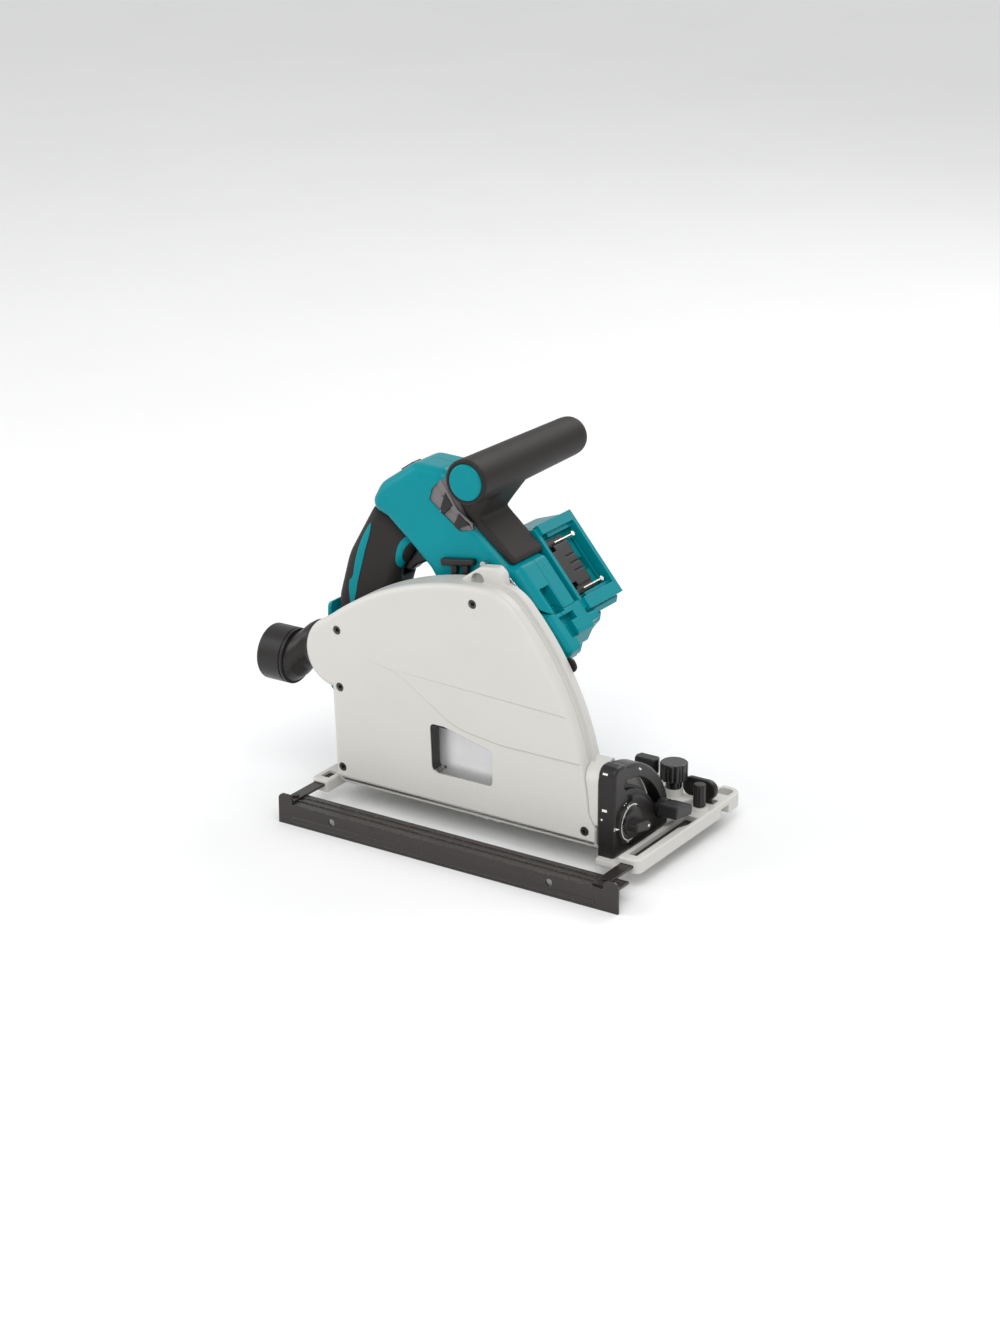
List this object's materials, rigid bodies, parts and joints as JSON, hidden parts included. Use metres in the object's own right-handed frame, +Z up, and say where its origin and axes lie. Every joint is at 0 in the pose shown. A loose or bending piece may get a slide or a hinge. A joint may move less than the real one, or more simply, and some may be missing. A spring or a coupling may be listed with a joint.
{
  "type": "track plunge saw",
  "caption": "Cordless plunge-cut circular saw on a tilting base plate, with a side cover, rip fence, cross handle, battery carriers and a dust nozzle.",
  "frame": {"origin": "middle of the base plate's length and width, on its sole", "axes": "+X forward along the cut, +Y away from the blade towards the motor, +Z up from the sole"},
  "size_m": [0.393, 0.2318, 0.3295],
  "materials": {
    "teal_plastic": "satin moulded plastic",
    "black_plastic": "fine textured moulded plastic",
    "rubber_grip": "soft overmoulded grip",
    "grey_plastic": "satin moulded plastic",
    "light_casting": "light grey powder coat on a casting",
    "fence_steel": "dark satin coat on folded sheet",
    "steel": "bright steel",
    "dark_steel": "blackened steel",
    "blade_steel": "ground steel",
    "aluminium": "die cast",
    "laminations": "laminated core and copper coils",
    "contact_metal": "plated contacts",
    "board": "potted circuit board",
    "slide_strip": "low friction strip"
  },
  "bodies": {
    "base": {"base_plate": "light_casting", "slide_strips": "slide_strip", "front_quadrant": "black_plastic", "rear_quadrant": "black_plastic", "quadrant_screws": "dark_steel"},
    "stop_dial": {"bevel_dial": "black_plastic"},
    "range_knob": {"bevel_range_knob": "black_plastic"},
    "rail_knob_front": {"rail_adjust_knob_front": "black_plastic"},
    "rail_knob_rear": {"rail_adjust_knob_rear": "black_plastic"},
    "fence_screw_front": {"fence_clamp_front": "black_plastic"},
    "fence_screw_rear": {"fence_clamp_rear": "black_plastic"},
    "tip_lever": {"tip_lock_lever": "black_plastic"},
    "fence": {"fence_rule": "fence_steel", "fence_arms": "fence_steel", "fence_screws": "dark_steel"},
    "tilt_frame": {"blade_case": "light_casting", "case_cover": "light_casting", "cover_screws": "dark_steel", "depth_scale": "steel", "pivot_shaft": "steel", "plunge_spring": "steel"},
    "clamp_front": {"bevel_clamp_front": "black_plastic"},
    "clamp_rear": {"bevel_clamp_rear": "black_plastic"},
    "stop_slider": {"depth_stop": "black_plastic"},
    "stop_knob": {"depth_stop_knob": "black_plastic"},
    "nozzle": {"dust_elbow": "black_plastic", "dust_cuff": "black_plastic"},
    "plunge_unit": {"gear_housing": "aluminium", "motor_shell": "teal_plastic", "motor_end_cap": "teal_plastic", "stator": "laminations", "ball_bearings": "steel", "battery_carrier_front": "teal_plastic", "terminal_blocks": "black_plastic", "battery_contacts": "contact_metal", "battery_carrier_rear": "teal_plastic", "depth_stop_pin": "steel", "trigger_switch": "black_plastic", "housing_screws": "dark_steel", "handle_right": "teal_plastic", "handle_left": "teal_plastic", "handle_grip": "rubber_grip", "front_handle": "rubber_grip", "front_handle_cap": "teal_plastic", "control_panel": "grey_plastic", "controller_board": "board"},
    "blade_unit": {"saw_blade": "blade_steel", "blade_flanges": "steel", "blade_bolt": "dark_steel", "spindle": "steel", "driven_gear": "steel"},
    "idler": {"idler_gear": "steel"},
    "rotor": {"rotor_shaft": "steel", "rotor_core": "laminations", "cooling_fan": "black_plastic"},
    "trigger": {"trigger": "black_plastic"},
    "lock_off": {"lock_off_button": "black_plastic"},
    "plunge_lock": {"plunge_lever": "black_plastic"},
    "speed": {"speed_dial": "black_plastic"},
    "shaft_lock": {"shaft_lock_button": "black_plastic"}
  },
  "joints": [
    {"name": "bevel", "type": "hinge", "parent": "base", "child": "tilt_frame", "pos_m": [0, -0.067, 0], "axis": [1, 0, 0], "range_deg": [-1, 48]},
    {"name": "plunge", "type": "hinge", "parent": "tilt_frame", "child": "plunge_unit", "pos_m": [-0.146, -0.046, 0.02], "axis": [0, 1, 0], "range_deg": [0, 21], "stiffness_Nm_per_rad": 10, "springref_deg": -63.03},
    {"name": "blade_spin", "type": "hinge", "parent": "plunge_unit", "child": "blade_unit", "pos_m": [0.00653, -0.067, 0.08551], "axis": [0, 1, 0], "continuous": true},
    {"name": "idler_spin", "type": "hinge", "parent": "plunge_unit", "child": "idler", "pos_m": [-0.02245, -0.041, 0.09328], "axis": [0, 1, 0], "continuous": true},
    {"name": "rotor_spin", "type": "hinge", "parent": "plunge_unit", "child": "rotor", "pos_m": [-0.04177, 0.02, 0.09845], "axis": [0, 1, 0], "continuous": true},
    {"name": "trigger_pull", "type": "hinge", "parent": "plunge_unit", "child": "trigger", "pos_m": [-0.097, -0.018, 0.213], "axis": [0, 1, 0], "range_deg": [0, 10], "stiffness_Nm_per_rad": 0.25, "springref_deg": -8.59},
    {"name": "lock_off_press", "type": "slide", "parent": "plunge_unit", "child": "lock_off", "axis": [0.5718, 0, -0.8204], "range_m": [0, 0.002], "stiffness_N_per_m": 400, "springref_m": -0.001},
    {"name": "plunge_lock_turn", "type": "hinge", "parent": "plunge_unit", "child": "plunge_lock", "pos_m": [-0.04, -0.045, 0.211], "axis": [0, 1, 0], "range_deg": [0, 12], "stiffness_Nm_per_rad": 0.2, "springref_deg": -11.46},
    {"name": "shaft_lock_press", "type": "slide", "parent": "plunge_unit", "child": "shaft_lock", "axis": [0, -1, 0], "range_m": [0, 0.004], "stiffness_N_per_m": 500, "springref_m": -0.001},
    {"name": "speed_turn", "type": "hinge", "parent": "plunge_unit", "child": "speed", "pos_m": [-0.062, 0.006, 0.246], "axis": [0, 1, 0], "range_deg": [0, 270]},
    {"name": "depth_set", "type": "hinge", "parent": "tilt_frame", "child": "stop_slider", "pos_m": [-0.146, -0.05, 0.02], "axis": [0, 1, 0], "range_deg": [-18, 0]},
    {"name": "depth_knob_turn", "type": "hinge", "parent": "stop_slider", "child": "stop_knob", "pos_m": [0.06618, -0.047, 0.14448], "axis": [0, 1, 0], "range_deg": [0, 90]},
    {"name": "clamp_front_turn", "type": "hinge", "parent": "tilt_frame", "child": "clamp_front", "pos_m": [0.14, -0.00661, 0.02403], "axis": [1, 0, 0], "range_deg": [-20, 20]},
    {"name": "clamp_rear_turn", "type": "hinge", "parent": "tilt_frame", "child": "clamp_rear", "pos_m": [-0.16, -0.00661, 0.02403], "axis": [1, 0, 0], "range_deg": [-20, 20]},
    {"name": "nozzle_swivel", "type": "hinge", "parent": "tilt_frame", "child": "nozzle", "pos_m": [-0.176, -0.0585, 0.124], "axis": [1, 0, 0], "range_deg": [-40, 40]},
    {"name": "fence_slide", "type": "slide", "parent": "base", "child": "fence", "axis": [0, -1, 0], "range_m": [-0.004, 0.03]},
    {"name": "fence_screw_front_turn", "type": "hinge", "parent": "base", "child": "fence_screw_front", "pos_m": [0.1527, 0.031, 0.02], "axis": [0, 0, 1], "range_deg": [0, 180]},
    {"name": "fence_screw_rear_turn", "type": "hinge", "parent": "base", "child": "fence_screw_rear", "pos_m": [-0.1547, 0.031, 0.02], "axis": [0, 0, 1], "range_deg": [0, 180]},
    {"name": "rail_knob_front_turn", "type": "hinge", "parent": "base", "child": "rail_knob_front", "pos_m": [0.126, 0.034, 0.03], "axis": [0, 0, 1], "range_deg": [0, 90]},
    {"name": "rail_knob_rear_turn", "type": "hinge", "parent": "base", "child": "rail_knob_rear", "pos_m": [-0.126, 0.034, 0.03], "axis": [0, 0, 1], "range_deg": [0, 90]},
    {"name": "stop_dial_turn", "type": "hinge", "parent": "base", "child": "stop_dial", "pos_m": [0.14, -0.058, 0.03], "axis": [1, 0, 0], "range_deg": [0, 90]},
    {"name": "range_knob_turn", "type": "hinge", "parent": "base", "child": "range_knob", "pos_m": [0.101, 0.032, 0.04], "axis": [0, 0, 1], "range_deg": [0, 60]},
    {"name": "tip_lever_slide", "type": "slide", "parent": "base", "child": "tip_lever", "axis": [0, 1, 0], "range_m": [0, 0.003]}
  ],
  "couplings": [
    {"joint": "idler_spin", "follows": "blade_spin", "ratio": -1},
    {"joint": "rotor_spin", "follows": "blade_spin", "ratio": 3}
  ]
}
